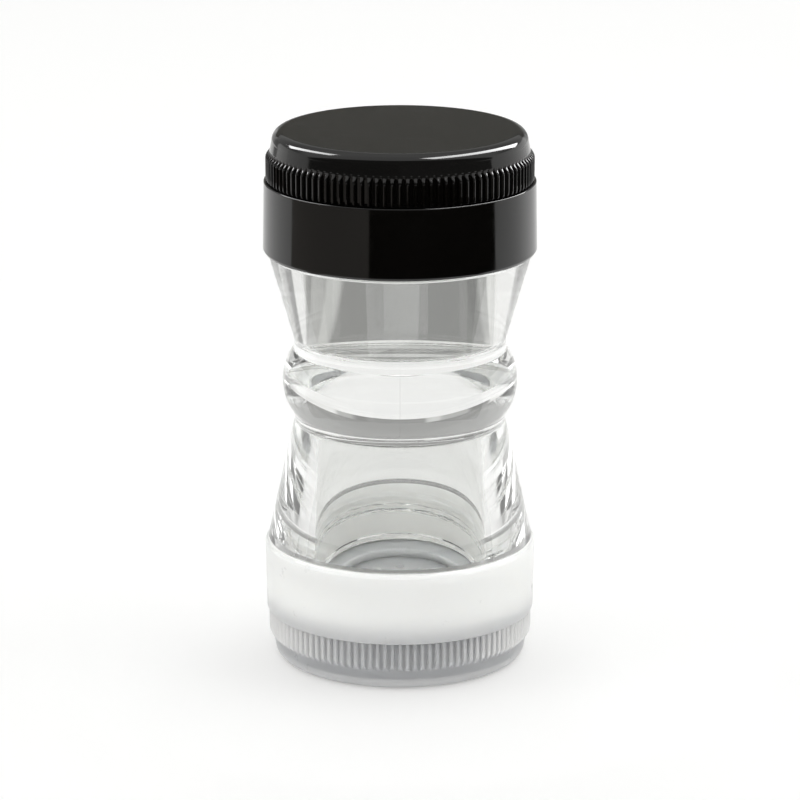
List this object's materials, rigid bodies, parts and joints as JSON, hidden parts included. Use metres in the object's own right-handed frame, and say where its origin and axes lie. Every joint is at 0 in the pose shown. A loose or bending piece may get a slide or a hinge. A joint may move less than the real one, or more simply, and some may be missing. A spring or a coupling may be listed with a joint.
{
  "type": "two-ended salt and pepper shaker",
  "caption": "Pocket shaker with a clear hourglass body, separate pepper and salt chambers back to back, and a knurled screw lid over a sifter at each end.",
  "frame": {"origin": "centre of the salt lid's flat end face, on the surface that the closed shaker stands on", "axes": "+Z along the shaker's axis from the salt end to the pepper end; +X and +Y are across it"},
  "size_m": [0.0424, 0.0424, 0.0842],
  "materials": {
    "clear_plastic": "polished clear",
    "black_plastic": "glossy",
    "white_plastic": "milky satin",
    "silicone": "matt"
  },
  "bodies": {
    "shell": {"clear_body": "clear_plastic"},
    "pepper_seal_ring": {"pepper_body_seal": "silicone"},
    "pepper_top": {"pepper_collar": "black_plastic", "pepper_sifter": "black_plastic"},
    "pepper_liner_disc": {"pepper_lid_liner": "silicone"},
    "pepper_cap": {"pepper_lid": "black_plastic"},
    "salt_seal_ring": {"salt_body_seal": "silicone"},
    "salt_top": {"salt_collar": "white_plastic", "salt_sifter": "white_plastic"},
    "salt_liner_disc": {"salt_lid_liner": "silicone"},
    "salt_cap": {"salt_lid": "white_plastic"}
  },
  "joints": [
    {"name": "pepper_collar_advance", "type": "slide", "parent": "shell", "child": "pepper_seal_ring", "axis": [0, 0, 1], "range_m": [0, 0.00375]},
    {"name": "pepper_collar_turn", "type": "hinge", "parent": "pepper_seal_ring", "child": "pepper_top", "pos_m": [0, 0, 0.0703], "axis": [0, 0, 1], "range_deg": [0, 450]},
    {"name": "pepper_lid_advance", "type": "slide", "parent": "pepper_top", "child": "pepper_liner_disc", "axis": [0, 0, 1], "range_m": [0, 0.0015]},
    {"name": "pepper_lid_turn", "type": "hinge", "parent": "pepper_liner_disc", "child": "pepper_cap", "pos_m": [0, 0, 0.0803], "axis": [0, 0, 1], "range_deg": [0, 180]},
    {"name": "salt_collar_advance", "type": "slide", "parent": "shell", "child": "salt_seal_ring", "axis": [0, 0, -1], "range_m": [0, 0.00375]},
    {"name": "salt_collar_turn", "type": "hinge", "parent": "salt_seal_ring", "child": "salt_top", "pos_m": [0, 0, 0.0139], "axis": [0, 0, -1], "range_deg": [0, 450]},
    {"name": "salt_lid_advance", "type": "slide", "parent": "salt_top", "child": "salt_liner_disc", "axis": [0, 0, -1], "range_m": [0, 0.0015]},
    {"name": "salt_lid_turn", "type": "hinge", "parent": "salt_liner_disc", "child": "salt_cap", "pos_m": [0, 0, 0.0039], "axis": [0, 0, -1], "range_deg": [0, 180]}
  ],
  "couplings": [
    {"joint": "pepper_collar_advance", "follows": "pepper_collar_turn", "m_per_rad": 0.00047746},
    {"joint": "pepper_lid_advance", "follows": "pepper_lid_turn", "m_per_rad": 0.00047746},
    {"joint": "salt_collar_advance", "follows": "salt_collar_turn", "m_per_rad": 0.00047746},
    {"joint": "salt_lid_advance", "follows": "salt_lid_turn", "m_per_rad": 0.00047746}
  ]
}
